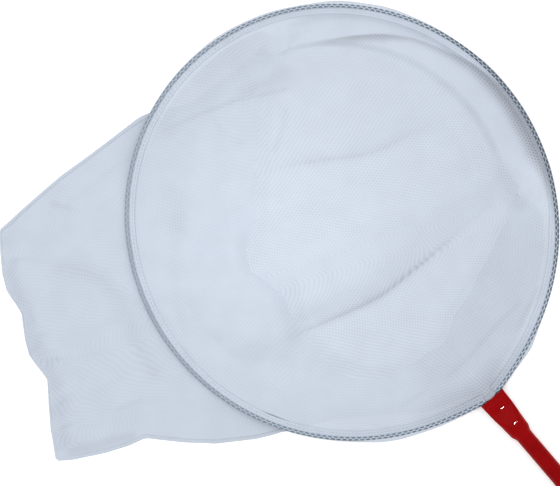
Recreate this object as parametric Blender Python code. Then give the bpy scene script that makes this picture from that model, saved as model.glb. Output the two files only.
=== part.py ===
"""A hand net for catching birds, lying on a flat surface with its bag folded out to one side.

Metres, +Z up. The origin is on the surface, under the centre of the hoop, and +X runs along
the handle. The bag's closed end, the tail, hinges on a crease just outside the hoop.
"""

import math

import bmesh
import bpy
from mathutils import Vector

# Hoop: sizes are on the centre line of its wire
HOOP_LENGTH = 0.408
HOOP_WIDTH = 0.393
WIRE_DIAMETER = 0.004
NECK_RISE = 0.011
NECK_SPREAD = math.radians(14.0)
NECK_ROUNDING = math.radians(6.0)
TANG_SPACING = 0.014
TANG_BEND_RADIUS = 0.006

# Socket ferrule: flat at its mouth, round where it holds the tube
FERRULE_WALL = 0.0012
FERRULE_MOUTH_WIDTH = 0.0260
FERRULE_THROAT_WIDTH = 0.0246
FERRULE_ROUND_WIDTH = 0.0215
FERRULE_FLAT_LENGTH = 0.016
FERRULE_RAMP_LENGTH = 0.014
FERRULE_ROUND_LENGTH = 0.010
FERRULE_TAPER_LENGTH = 0.007
FERRULE_TAPER_EDGE = 0.0006
MOUTH_SQUARENESS = 5.0
ROUND_SQUARENESS = 2.0
MOUTH_RIM_LENGTH = 0.003
MOUTH_RIM_HEIGHT = 0.0004
CRIMP_DEPTH = 0.0006
CRIMP_LENGTH = 0.0024
CRIMP_WIDTH = 0.0045
CRIMP_SPACING = 0.0185

# Handle tube and its end cap
TUBE_DIAMETER = 0.016
TUBE_WALL = 0.0012
TUBE_LENGTH = 0.600
CAP_WALL = 0.0012
CAP_LENGTH = 0.030
CAP_END_THICKNESS = 0.0025
CAP_EDGE_RADIUS = 0.002

# Mesh bag: panels, hem and seams
NET_THICKNESS = 0.0012
BAG_LOFT = 0.006
HEM_WALL = 0.0009
HEM_DROP_INSET = 0.0046
HEM_SPREAD = 0.006
HEM_END_GAP = 0.004
HEM_FADE = math.radians(14.0)
THREAD_DIAMETER = 0.0008
SEAM_WIDTH = 0.005
PANEL_INSET = 0.0035

# Tail: measured along and across its own direction from the hoop's centre
TAIL_DIRECTION = math.radians(-107.2)
CREASE_GAP = 0.0229
CREASE_WIDTH = 0.265
CREASE_OFFSET = -0.006
TAIL_SHORT_SIDE = 0.075
TAIL_LONG_SIDE = 0.110
TAIL_TAPER_ANGLE = math.radians(15.1)

# Fits
CLEARANCE = 0.0003

# Facets and searches
WIRE_SIDES = 10
THREAD_SIDES = 6
HOOP_STEPS = 104
LEAD_STEPS = 3
BEND_STEPS = 6
HEM_RING_POINTS = 11
FERRULE_SIDES = 40
TUBE_SIDES = 40
RAMP_STEPS = 8
TAPER_STEPS = 5
CAP_EDGE_STEPS = 4
RIM_ROUNDING_SHARE = 0.3
SHARP_ANGLE = math.radians(40.0)
ANGLE_STEP = 1e-4
SEARCH_STEPS = 50

# Sizes that follow from the ones above
WIRE_RADIUS = WIRE_DIAMETER / 2
TUBE_RADIUS = TUBE_DIAMETER / 2
AXIS_HEIGHT = TUBE_RADIUS + CLEARANCE + max(FERRULE_WALL, CAP_WALL)
HEM_BORE = WIRE_RADIUS + CLEARANCE
HEM_RADIUS = HEM_BORE + HEM_WALL
UPPER_PANEL_Z = NET_THICKNESS + BAG_LOFT
FERRULE_RAMP_END = FERRULE_FLAT_LENGTH + FERRULE_RAMP_LENGTH
FERRULE_TAPER_START = FERRULE_RAMP_END + FERRULE_ROUND_LENGTH
TAIL_TAPER = math.tan(TAIL_TAPER_ANGLE)
LEFT, RIGHT = -1, 1


def clear_scene():
    for obj in list(bpy.data.objects):
        bpy.data.objects.remove(obj, do_unlink=True)


def material(name, colour, roughness, metallic=0.0):
    made = bpy.data.materials.new(name)
    made.use_nodes = True
    shader = made.node_tree.nodes["Principled BSDF"]
    shader.inputs["Base Color"].default_value = (*colour, 1.0)
    shader.inputs["Roughness"].default_value = roughness
    shader.inputs["Metallic"].default_value = metallic
    return made


def finish_object(name, mesh_data, finish, parent=None, smooth=True):
    """One named object from a bmesh, facing out, smooth on its round sides."""
    bmesh.ops.recalc_face_normals(mesh_data, faces=mesh_data.faces)
    mesh = bpy.data.meshes.new(name)
    mesh_data.to_mesh(mesh)
    mesh_data.free()
    if smooth:
        mesh.shade_smooth()
        mesh.set_sharp_from_angle(angle=SHARP_ANGLE)
    mesh.materials.append(finish)
    obj = bpy.data.objects.new(name, mesh)
    bpy.context.scene.collection.objects.link(obj)
    obj.parent = parent
    return obj


def skin_rings(mesh_data, rings, closed=False):
    """Quads from each ring of vertices to the next, and from the last to the first if closed."""
    pairs = list(zip(rings, rings[1:]))
    if closed:
        pairs.append((rings[-1], rings[0]))
    for first, second in pairs:
        count = len(first)
        for i in range(count):
            j = (i + 1) % count
            mesh_data.faces.new((first[i], first[j], second[j], second[i]))


def add_rings(mesh_data, rings):
    return [[mesh_data.verts.new(point) for point in ring] for ring in rings]


def sweep_solid(name, rings, finish, parent=None):
    """A closed solid through rings of points, with flat ends."""
    mesh_data = bmesh.new()
    verts = add_rings(mesh_data, rings)
    skin_rings(mesh_data, verts)
    mesh_data.faces.new(verts[0])
    mesh_data.faces.new(verts[-1])
    return finish_object(name, mesh_data, finish, parent)


def sweep_shell(name, outer, inner, finish, parent=None):
    """A walled tube: outer rings, and inner rings of as many points, joined at both ends."""
    mesh_data = bmesh.new()
    verts = add_rings(mesh_data, list(outer) + list(reversed(inner)))
    skin_rings(mesh_data, verts, closed=True)
    return finish_object(name, mesh_data, finish, parent)


def plate(name, outline, bottom, thickness, finish, parent=None):
    """A flat sheet: an outline of (x, y) points given a thickness upwards from bottom."""
    mesh_data = bmesh.new()
    low = [mesh_data.verts.new((x, y, bottom)) for x, y in outline]
    high = [mesh_data.verts.new((x, y, bottom + thickness)) for x, y in outline]
    mesh_data.faces.new(low)
    mesh_data.faces.new(high)
    skin_rings(mesh_data, [low, high])
    return finish_object(name, mesh_data, finish, parent, smooth=False)


def smooth_step(value):
    value = min(1.0, max(0.0, value))
    return value * value * (3 - 2 * value)


def circle_ring(x, radius, sides):
    """A ring of points round the handle's axis at distance x along it."""
    turns = [2 * math.pi * i / sides for i in range(sides)]
    return [(x, radius * math.cos(a), AXIS_HEIGHT + radius * math.sin(a)) for a in turns]


def hoop_radius(angle, round_off=0.0):
    """Distance from the hoop's centre to its wire, with the neck that reaches to the socket."""
    along = math.cos(angle) / (HOOP_LENGTH / 2)
    across = math.sin(angle) / (HOOP_WIDTH / 2)
    off_axis = abs(math.atan2(math.sin(angle), math.cos(angle)))
    neck = NECK_RISE * math.exp(-math.hypot(off_axis, round_off) / NECK_SPREAD)
    return 1 / math.hypot(along, across) + neck


def hoop_point(angle, outwards=0.0, round_off=0.0):
    """A point of the hoop's outline in plan, moved outwards along the outline's normal."""
    here, ahead, behind = [
        Vector((math.cos(a), math.sin(a))) * hoop_radius(a, round_off)
        for a in (angle, angle + ANGLE_STEP, angle - ANGLE_STEP)
    ]
    tangent = (ahead - behind).normalized()
    return here + outwards * Vector((tangent.y, -tangent.x))


def tang_path(start_angle):
    """Where the wire leaves the hoop's outline at start_angle and bends to run along the handle."""
    start = hoop_point(start_angle)
    heading = (hoop_point(start_angle - ANGLE_STEP) - start).normalized()
    turn = math.atan2(-heading.y, heading.x)
    points = []
    for i in range(BEND_STEPS + 1):
        left = turn * (1 - i / BEND_STEPS)
        x = start.x + TANG_BEND_RADIUS * (math.sin(turn) - math.sin(left))
        y = start.y - TANG_BEND_RADIUS * (math.cos(left) - math.cos(turn))
        points.append(Vector((x, y)))
    return points


def tang_start_angle():
    """The angle at which the bent wire ends up TANG_SPACING / 2 from the handle's axis."""
    low, high = ANGLE_STEP, math.pi / 6
    for _ in range(SEARCH_STEPS):
        middle = (low + high) / 2
        if tang_path(middle)[-1].y > TANG_SPACING / 2:
            high = middle
        else:
            low = middle
    return high


TANG_ANGLE = tang_start_angle()
MOUTH_X = tang_path(TANG_ANGLE)[BEND_STEPS // 2].x
TUBE_START = MOUTH_X + FERRULE_RAMP_END
TANG_END = TUBE_START - WIRE_RADIUS
HEM_START_ANGLE = math.asin((FERRULE_MOUTH_WIDTH / 2 + HEM_END_GAP) / (HOOP_LENGTH / 2))
CREASE_DISTANCE = hoop_radius(TAIL_DIRECTION) + CREASE_GAP
TAIL_AXIS = Vector((math.cos(TAIL_DIRECTION), math.sin(TAIL_DIRECTION)))
TAIL_ACROSS = Vector((-TAIL_AXIS.y, TAIL_AXIS.x))


def tail_to_plan(along, across):
    return TAIL_AXIS * along + TAIL_ACROSS * across


def edge_across(side, along):
    """How far across the bag's side edge lies, at a distance along the tail's direction."""
    half = CREASE_WIDTH / 2 - TAIL_TAPER * (along - CREASE_DISTANCE)
    return CREASE_OFFSET + side * half


def contact_angle(side):
    """The hoop angle where the bag's side edge comes out from under the hem."""
    near, far = 0.0, math.pi / 2
    for _ in range(SEARCH_STEPS):
        middle = (near + far) / 2
        point = hoop_point(TAIL_DIRECTION + side * middle, HEM_RADIUS)
        reach = point.dot(TAIL_ACROSS) * side
        if reach > edge_across(side, point.dot(TAIL_AXIS)) * side:
            far = middle
        else:
            near = middle
    return TAIL_DIRECTION + side * near


def tube_rings(path, radius, sides, height=AXIS_HEIGHT):
    """Rings of points round a level path of (x, y) points."""
    rings = []
    for i, point in enumerate(path):
        before = path[max(i - 1, 0)]
        after = path[min(i + 1, len(path) - 1)]
        tangent = (after - before).normalized()
        normal = Vector((tangent.y, -tangent.x))
        ring = []
        for k in range(sides):
            a = 2 * math.pi * k / sides
            side = point + normal * radius * math.cos(a)
            ring.append((side.x, side.y, height + radius * math.sin(a)))
        rings.append(ring)
    return rings


def hem_steps():
    span = 2 * math.pi - 2 * HEM_START_ANGLE
    return [HEM_START_ANGLE + span * i / HOOP_STEPS for i in range(HOOP_STEPS + 1)]


def make_hoop_wire(finish):
    bare = HEM_START_ANGLE - TANG_ANGLE
    lead = [TANG_ANGLE + bare * i / LEAD_STEPS for i in range(LEAD_STEPS)]
    trail = [2 * math.pi - a for a in reversed(lead)]
    ring = [hoop_point(a) for a in lead + hem_steps() + trail]
    tang = tang_path(TANG_ANGLE) + [Vector((TANG_END, TANG_SPACING / 2))]
    mirrored = [Vector((p.x, -p.y)) for p in tang]
    path = list(reversed(tang))[:-1] + ring + mirrored[1:]
    sweep_solid("hoop_wire", tube_rings(path, WIRE_RADIUS, WIRE_SIDES), finish)


def tail_share(angle):
    """0 where the hem hangs to the lower panel, 1 where it spreads out to the upper panel."""
    left = (contact_angle(LEFT) - TAIL_DIRECTION) % (2 * math.pi) - 2 * math.pi
    right = contact_angle(RIGHT) - TAIL_DIRECTION
    here = (angle - TAIL_DIRECTION + math.pi) % (2 * math.pi) - math.pi
    return smooth_step(1 + min(here - left, right - here) / HEM_FADE)


def fin_of_hem(angle):
    """Direction and length of the hem's sewn allowance, in the plane across the wire."""
    half = NET_THICKNESS / 2
    drop = Vector((-HEM_DROP_INSET, NET_THICKNESS + half + CLEARANCE - AXIS_HEIGHT))
    spread = Vector((HEM_SPREAD, UPPER_PANEL_Z + half - AXIS_HEIGHT))
    share = tail_share(angle)
    drop_turn = math.atan2(drop.y, drop.x) % (2 * math.pi)
    spread_turn = math.atan2(spread.y, spread.x) % (2 * math.pi)
    turn = drop_turn + (spread_turn - drop_turn) * share
    length = drop.length + (spread.length - drop.length) * share
    return turn, length


def across_wire(angle, outwards, up):
    point = hoop_point(angle, outwards)
    return (point.x, point.y, AXIS_HEIGHT + up)


def make_hem(finish):
    half = NET_THICKNESS / 2
    notch = math.asin(half / HEM_RADIUS)
    span = 2 * math.pi - 2 * notch
    steps = [notch + span * i / (HEM_RING_POINTS - 1) for i in range(HEM_RING_POINTS)]
    bore_start = fin_of_hem(HEM_START_ANGLE)[0]
    bore_turns = [bore_start + step for step in steps + [-notch / 2, notch / 2]]
    bore = [(HEM_BORE * math.cos(a), HEM_BORE * math.sin(a)) for a in bore_turns]
    outer, inner = [], []
    for angle in hem_steps():
        turn, length = fin_of_hem(angle)
        section = [(HEM_RADIUS * math.cos(turn + a), HEM_RADIUS * math.sin(turn + a)) for a in steps]
        ahead = Vector((math.cos(turn), math.sin(turn)))
        aside = Vector((-ahead.y, ahead.x)) * half
        section += [tuple(ahead * length - aside), tuple(ahead * length + aside)]
        outer.append([across_wire(angle, u, v) for u, v in section])
        inner.append([across_wire(angle, u, v) for u, v in bore])
    sweep_shell("hem", outer, inner, finish)


def make_hem_thread(finish):
    """The row of stitching, on the bag's outer face close to the wire."""
    radius = THREAD_DIAMETER / 2
    away = NET_THICKNESS / 2 + 2 * CLEARANCE + radius
    reach = HEM_RADIUS + 2 * THREAD_DIAMETER
    rings = []
    for angle in hem_steps()[1:-1]:
        turn = fin_of_hem(angle)[0] + math.asin(away / reach)
        u, v = reach * math.cos(turn), reach * math.sin(turn)
        sides = [2 * math.pi * k / THREAD_SIDES for k in range(THREAD_SIDES)]
        rings.append([across_wire(angle, u + radius * math.cos(a), v + radius * math.sin(a)) for a in sides])
    sweep_solid("hem_thread", rings, finish)


def ferrule_section(distance):
    """Half width, half height and squareness of the ferrule, and how far it is down its taper."""
    half_flat = WIRE_RADIUS + CLEARANCE + FERRULE_WALL
    half_round = TUBE_RADIUS + CLEARANCE + FERRULE_WALL
    share = smooth_step((distance - FERRULE_FLAT_LENGTH) / FERRULE_RAMP_LENGTH)
    flat = min(1.0, distance / FERRULE_FLAT_LENGTH)
    front = FERRULE_MOUTH_WIDTH + (FERRULE_THROAT_WIDTH - FERRULE_MOUTH_WIDTH) * flat
    wide = (front + (FERRULE_ROUND_WIDTH - front) * share) / 2
    high = half_flat + (half_round - half_flat) * share
    square = MOUTH_SQUARENESS + (ROUND_SQUARENESS - MOUTH_SQUARENESS) * share
    taper = smooth_step((distance - FERRULE_TAPER_START) / FERRULE_TAPER_LENGTH)
    return wide, high, square, taper


def rounded_ring(x, wide, high, square):
    """A ring between a flattened oval and a circle, round the handle's axis."""
    ring = []
    for i in range(FERRULE_SIDES):
        a = 2 * math.pi * i / FERRULE_SIDES
        c, s = math.cos(a), math.sin(a)
        y = wide * math.copysign(abs(c) ** (2 / square), c)
        z = high * math.copysign(abs(s) ** (2 / square), s)
        ring.append((x, y, AXIS_HEIGHT + z))
    return ring


def crimp_at(distance, y):
    """Depth of the two cross-wise crimp dents at a point on the ferrule's broad faces."""
    depth = 0.0
    back = FERRULE_RAMP_END - CRIMP_LENGTH / 2
    for centre in (back - CRIMP_SPACING, back):
        along = (distance - centre) / CRIMP_LENGTH
        depth += CRIMP_DEPTH * math.exp(-along * along - (y / CRIMP_WIDTH) ** 2)
    return depth


def ferrule_stations():
    rim = [MOUTH_RIM_LENGTH * share for share in (0, RIM_ROUNDING_SHARE, 1 - RIM_ROUNDING_SHARE, 1)]
    flat_run = FERRULE_FLAT_LENGTH - MOUTH_RIM_LENGTH
    flat = [MOUTH_RIM_LENGTH + flat_run * i / RAMP_STEPS for i in range(1, RAMP_STEPS)]
    ramp = [FERRULE_FLAT_LENGTH + FERRULE_RAMP_LENGTH * i / RAMP_STEPS for i in range(RAMP_STEPS + 1)]
    taper = [FERRULE_TAPER_START + FERRULE_TAPER_LENGTH * i / TAPER_STEPS for i in range(TAPER_STEPS + 1)]
    return rim + flat + ramp + taper


def make_socket_ferrule(finish):
    outer, inner = [], []
    bore = TUBE_RADIUS + CLEARANCE
    for distance in ferrule_stations():
        wide, high, square, taper = ferrule_section(distance)
        x = MOUTH_X + distance
        rim = MOUTH_RIM_HEIGHT if 0 < distance < MOUTH_RIM_LENGTH else 0.0
        edge = bore + FERRULE_TAPER_EDGE
        outer_wide = wide + rim + (edge - wide) * taper
        outer_high = high + rim + (edge - high) * taper
        outside = rounded_ring(x, outer_wide, outer_high, square)
        crimped = []
        for _, y, z in outside:
            side = math.copysign(1.0, z - AXIS_HEIGHT)
            crimped.append((x, y, z - side * crimp_at(distance, y)))
        outer.append(crimped)
        wall_wide = wide - FERRULE_WALL
        inner.append(rounded_ring(x, wall_wide + (bore - wall_wide) * taper, high - FERRULE_WALL, square))
    sweep_shell("socket_ferrule", outer, inner, finish)


def make_handle_tube(finish):
    ends = (TUBE_START, TUBE_START + TUBE_LENGTH)
    outer = [circle_ring(x, TUBE_RADIUS, TUBE_SIDES) for x in ends]
    inner = [circle_ring(x, TUBE_RADIUS - TUBE_WALL, TUBE_SIDES) for x in ends]
    sweep_shell("handle_tube", outer, inner, finish)


def make_end_cap(finish):
    """A slip-on cup with a rounded edge and a flat end face."""
    bottom = TUBE_START + TUBE_LENGTH + CLEARANCE
    end = bottom + CAP_END_THICKNESS
    mouth = end - CAP_LENGTH
    bore = TUBE_RADIUS + CLEARANCE
    radius = bore + CAP_WALL
    profile = [(bottom, bore), (mouth, bore), (mouth, radius)]
    for i in range(CAP_EDGE_STEPS + 1):
        a = math.pi / 2 * i / CAP_EDGE_STEPS
        x = end - CAP_EDGE_RADIUS + CAP_EDGE_RADIUS * math.sin(a)
        profile.append((x, radius - CAP_EDGE_RADIUS + CAP_EDGE_RADIUS * math.cos(a)))
    sweep_solid("end_cap", [circle_ring(x, r, TUBE_SIDES) for x, r in profile], finish)


def make_net_panels(finish):
    """The part of the bag that stays with the hoop, up to the crease."""
    stop = CREASE_DISTANCE - CLEARANCE
    crease = [tail_to_plan(stop, edge_across(side, stop)) for side in (LEFT, RIGHT)]
    right, left = contact_angle(RIGHT), contact_angle(LEFT) % (2 * math.pi)
    arc = [right + (left - right) * i / HOOP_STEPS for i in range(HOOP_STEPS + 1)]
    floor = [hoop_point(a, -PANEL_INSET, NECK_ROUNDING) for a in arc]
    plate("net_lower_panel", [tuple(p) for p in floor + crease], 0.0, NET_THICKNESS, finish)
    around = left - 2 * math.pi
    start = HEM_SPREAD + CLEARANCE
    rim = [hoop_point(right + (around - right) * i / HOOP_STEPS, start) for i in range(HOOP_STEPS + 1)]
    plate("net_upper_panel", [tuple(p) for p in rim + crease], UPPER_PANEL_Z, NET_THICKNESS, finish)


def seam_bar(name, corners, finish, floor=0.0, parent=None):
    """A rolled seam between the two panels."""
    bottom = floor + NET_THICKNESS + CLEARANCE
    plate(name, corners, bottom, BAG_LOFT - 2 * CLEARANCE, finish, parent)


def make_throat_seams(finish):
    stop = CREASE_DISTANCE - CLEARANCE
    for side, name in ((LEFT, "throat_seam_left"), (RIGHT, "throat_seam_right")):
        touch = hoop_point(contact_angle(side), HEM_RADIUS)
        start = touch.dot(TAIL_AXIS) + SEAM_WIDTH
        corners = []
        for along, inset in ((start, 0), (stop, 0), (stop, SEAM_WIDTH), (start + SEAM_WIDTH, SEAM_WIDTH)):
            corners.append(tuple(tail_to_plan(along, edge_across(side, along) - side * inset)))
        seam_bar(name, corners, finish)


def tail_corner(side, side_inset=0.0, bottom_inset=0.0):
    """Where a side edge and the bottom edge of the tail meet, each moved in, as (from the crease, across)."""
    left = Vector((TAIL_SHORT_SIDE, edge_across(LEFT, CREASE_DISTANCE + TAIL_SHORT_SIDE)))
    right = Vector((TAIL_LONG_SIDE, edge_across(RIGHT, CREASE_DISTANCE + TAIL_LONG_SIDE)))
    bottom = (right - left).normalized()
    inwards = Vector((-bottom.y, bottom.x))
    start = edge_across(side, CREASE_DISTANCE) - side * side_inset
    slope = -side * TAIL_TAPER
    reach = bottom_inset + left.x * inwards.x - (start - left.y) * inwards.y
    along = reach / (inwards.x + slope * inwards.y)
    return along, start + slope * along


def make_tail(panel_finish, seam_finish, pivot):
    """The closed end of the bag, in its own frame: x from the crease outwards, y across."""
    start = CLEARANCE
    mouth = {side: edge_across(side, CREASE_DISTANCE + start) for side in (LEFT, RIGHT)}
    outline = [(start, mouth[LEFT]), tail_corner(LEFT), tail_corner(RIGHT), (start, mouth[RIGHT])]
    floor = -AXIS_HEIGHT
    plate("tail_lower_panel", outline, floor, NET_THICKNESS, panel_finish, pivot)
    plate("tail_upper_panel", outline, floor + UPPER_PANEL_Z, NET_THICKNESS, panel_finish, pivot)
    for side, name in ((LEFT, "side_seam_left"), (RIGHT, "side_seam_right")):
        above = SEAM_WIDTH + CLEARANCE
        bar = [
            (start, mouth[side]),
            tail_corner(side, 0, above),
            tail_corner(side, SEAM_WIDTH, above),
            (start, mouth[side] - side * SEAM_WIDTH),
        ]
        seam_bar(name, bar, seam_finish, floor, pivot)
    low_edge = [tail_corner(LEFT), tail_corner(RIGHT)]
    high_edge = [tail_corner(RIGHT, 0, SEAM_WIDTH), tail_corner(LEFT, 0, SEAM_WIDTH)]
    seam_bar("bottom_seam", low_edge + high_edge, seam_finish, floor, pivot)


def make_tail_pivot():
    """An empty on the crease's axis, at the height of the hoop, turned to the tail's direction."""
    pivot = bpy.data.objects.new("tail_pivot", None)
    place = tail_to_plan(CREASE_DISTANCE, 0)
    pivot.location = (place.x, place.y, AXIS_HEIGHT)
    pivot.rotation_euler = (0, 0, TAIL_DIRECTION)
    bpy.context.scene.collection.objects.link(pivot)
    return pivot


def main():
    clear_scene()
    red = material("red_paint", (0.33, 0.008, 0.012), 0.25)
    grey = material("galvanised_wire", (0.42, 0.46, 0.5), 0.4, 1.0)
    black = material("black_vinyl", (0.02, 0.02, 0.02), 0.6)
    mesh_white = material("net_mesh", (0.72, 0.76, 0.82), 0.8)
    thread_white = material("thread", (0.8, 0.83, 0.87), 0.7)
    make_hoop_wire(grey)
    make_socket_ferrule(red)
    make_handle_tube(red)
    make_end_cap(black)
    make_hem(mesh_white)
    make_hem_thread(thread_white)
    make_net_panels(mesh_white)
    make_throat_seams(mesh_white)
    make_tail(mesh_white, mesh_white, make_tail_pivot())


main()
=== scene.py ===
"""The finish of a hand net for catching birds: mesh bag, hem, seams, wire hoop and red handle.

Metres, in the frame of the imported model: the hoop lies level, +X runs along the handle, and
the bag's closed end flops out to one side. In plan the bag is laid out from the hoop's centre
as (p, q): p along the tail's direction, q across it. A turn is an angle round the hoop, in
degrees from its far side, opposite the tail. The bag's far panel hangs from there and lies on
the floor, and its near panel lies over it.
"""

import math

import bpy
import numpy as np
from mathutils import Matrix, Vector


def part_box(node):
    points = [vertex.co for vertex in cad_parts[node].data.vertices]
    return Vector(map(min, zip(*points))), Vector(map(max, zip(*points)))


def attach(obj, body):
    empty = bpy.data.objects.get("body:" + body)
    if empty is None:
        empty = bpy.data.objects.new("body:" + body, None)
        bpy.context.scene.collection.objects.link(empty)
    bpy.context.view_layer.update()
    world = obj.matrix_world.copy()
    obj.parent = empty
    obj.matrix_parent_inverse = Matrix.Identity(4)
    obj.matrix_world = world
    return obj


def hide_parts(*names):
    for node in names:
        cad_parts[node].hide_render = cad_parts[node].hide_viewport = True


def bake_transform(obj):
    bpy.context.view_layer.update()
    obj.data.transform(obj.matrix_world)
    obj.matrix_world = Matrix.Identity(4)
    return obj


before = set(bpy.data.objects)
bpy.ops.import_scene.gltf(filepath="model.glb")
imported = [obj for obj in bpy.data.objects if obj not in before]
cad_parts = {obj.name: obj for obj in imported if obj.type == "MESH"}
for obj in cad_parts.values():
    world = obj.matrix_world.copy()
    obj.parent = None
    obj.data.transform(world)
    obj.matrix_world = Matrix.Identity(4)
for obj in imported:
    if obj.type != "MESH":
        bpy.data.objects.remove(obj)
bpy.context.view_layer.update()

# Hoop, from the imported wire, and its neck
WIRE_RADIUS = 0.002
WIRE_LOW, WIRE_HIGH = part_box("hoop_wire")
HALF_WIDTH = WIRE_HIGH.y - WIRE_RADIUS
HALF_LENGTH = -WIRE_LOW.x - WIRE_RADIUS
AXIS_HEIGHT = (WIRE_LOW.z + WIRE_HIGH.z) / 2
NECK_RISE = 0.011
NECK_SPREAD = math.radians(14)
NECK_ROUNDING = math.radians(6)

# Bag: its directions, where its side seams meet the hoop, and its grid
TAIL_DIRECTION = math.radians(-107.2)
FAR_DIRECTION = TAIL_DIRECTION + math.pi
LEFT_SEAM, RIGHT_SEAM = math.radians(-83), math.radians(95)
FAR_COLUMNS, NEAR_COLUMNS = 112, 112
SHELF_ROWS, RETURN_ROWS, RUN_ROWS = 22, 8, 62
RUN_START = SHELF_ROWS + RETURN_ROWS
# Where the closing seam lies, as (q, p), and the bag's two side edges, as (p, q)
BOTTOM_SEAM = (
    (-0.1185, 0.295), (-0.101, 0.302), (-0.08, 0.309), (-0.065, 0.311), (-0.048, 0.308),
    (-0.039, 0.307), (-0.017, 0.313), (-0.002, 0.316), (0.016, 0.311), (0.025, 0.309),
    (0.046, 0.317), (0.067, 0.3242), (0.0988, 0.3315),
)
LEFT_EDGE = (
    (0, -0.2), (0.124, -0.1645), (0.161, -0.1565), (0.197, -0.1478), (0.224, -0.1418),
    (0.252, -0.133), (0.27, -0.1272), (0.295, -0.118),
)
RIGHT_EDGE = (
    (0, 0.2), (0.092, 0.172), (0.129, 0.1575), (0.153, 0.1536), (0.189, 0.1428),
    (0.216, 0.13), (0.248, 0.1118), (0.265, 0.1122), (0.288, 0.1098), (0.318, 0.1037),
    (0.3315, 0.0988),
)
# In p: from where the side edges count, and over what length
EDGES_FROM = (0.08, 0.06)

# Vertex attributes that the materials read: painted shade, and how tight the hem's mesh is
SHADE_ATTRIBUTE, TIGHTNESS = "painted_shade", "tight"


# Curves and noise

def smooth_step(x):
    x = np.clip(x, 0, 1)
    return x * x * (3 - 2 * x)


def ramp(x, start, length):
    """0 up to start, 1 from a length past it, and smooth between."""
    return smooth_step((x - start) / length)


def window(x, start, rise, fall, end):
    """0 outside start and end, 1 well inside them, and smooth between."""
    return smooth_step((x - start) / rise) * smooth_step((end - x) / fall)


def look_up(table, x, period=None):
    """What a table of (place, value) gives at x."""
    places, values = np.array(table).T
    return np.interp(x, places, values, period=period)


def waves(angles, table, level=0.0):
    """Waves round the hoop about a level, from a table of (size, number, phase)."""
    return sum((size * np.sin(number * angles + phase) for size, number, phase in table), level)


def lengths(vectors):
    return np.linalg.norm(vectors, axis=-1)


def unit(vectors):
    return vectors / lengths(vectors)[..., None]


def ring_smooth(values, width):
    """A closed row of values, softened by a bell of that many columns."""
    count = len(values)
    turns = np.arange(count)
    turns = np.minimum(turns, count - turns)
    bell = np.exp(-0.5 * (turns / width) ** 2)
    bell /= bell.sum()
    return np.real(np.fft.ifft(np.fft.fft(values) * np.fft.fft(bell)))


NOISE_WAVES = 14
NOISE_LENGTHS = (0.6, 1.7)


def lattice_noise(points, scale, seed):
    """Soft noise from a few seeded waves, about -1 to 1, at points in metres."""
    draw = np.random.default_rng(seed)
    total = np.zeros(points.shape[:-1])
    for _ in range(NOISE_WAVES):
        heading = draw.uniform(0, 2 * np.pi)
        length = scale * draw.uniform(*NOISE_LENGTHS)
        phase = draw.uniform(0, 2 * np.pi)
        wave = points[..., 0] * np.cos(heading) + points[..., 1] * np.sin(heading)
        total += np.sin(2 * np.pi * wave / length + phase)
    return total / NOISE_WAVES ** 0.5


# Places in plan

def plan(p, q):
    """World (x, y) of a place given along and across the tail's direction."""
    c, s = math.cos(TAIL_DIRECTION), math.sin(TAIL_DIRECTION)
    return np.stack([c * p - s * q, s * p + c * q], -1)


def along_across(points):
    """The (p, q) of points in the world."""
    c, s = math.cos(TAIL_DIRECTION), math.sin(TAIL_DIRECTION)
    x, y = points[..., 0], points[..., 1]
    return c * x + s * y, -s * x + c * y


def turn_from_far_side(angles):
    return np.degrees(np.angle(np.exp(1j * (FAR_DIRECTION - angles))))


def hoop_radius(angle, round_off=0.0):
    off_axis = np.abs(np.arctan2(np.sin(angle), np.cos(angle)))
    neck = NECK_RISE * np.exp(-np.hypot(off_axis, round_off) / NECK_SPREAD)
    return 1 / np.hypot(np.cos(angle) / HALF_LENGTH, np.sin(angle) / HALF_WIDTH) + neck


def hoop_points(angle, outwards=0.0, round_off=0.0):
    """Points of the wire's centre line in plan, moved outwards along its normal."""
    step = 1e-4

    def at(a):
        return np.stack([np.cos(a), np.sin(a)], -1) * hoop_radius(a, round_off)[..., None]

    tangent = unit(at(angle + step) - at(angle - step))
    normal = np.stack([tangent[..., 1], -tangent[..., 0]], -1)
    return at(angle) + normal * np.asarray(outwards)[..., None]


# Meshes from grids of points

BAKE_MARGINS = (0.01, 0.03)


def new_object(name, data):
    obj = bpy.data.objects.new(name, data)
    bpy.context.scene.collection.objects.link(obj)
    return obj


def add_uv(mesh, name, places):
    layer = mesh.uv_layers.new(name=name)
    layer.data.foreach_set("uv", places.reshape(-1).astype(np.float32))


def add_attribute(obj, name, values):
    made = obj.data.attributes.new(name, "FLOAT", "POINT")
    made.data.foreach_set("value", np.ravel(values).astype(np.float32))


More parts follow.
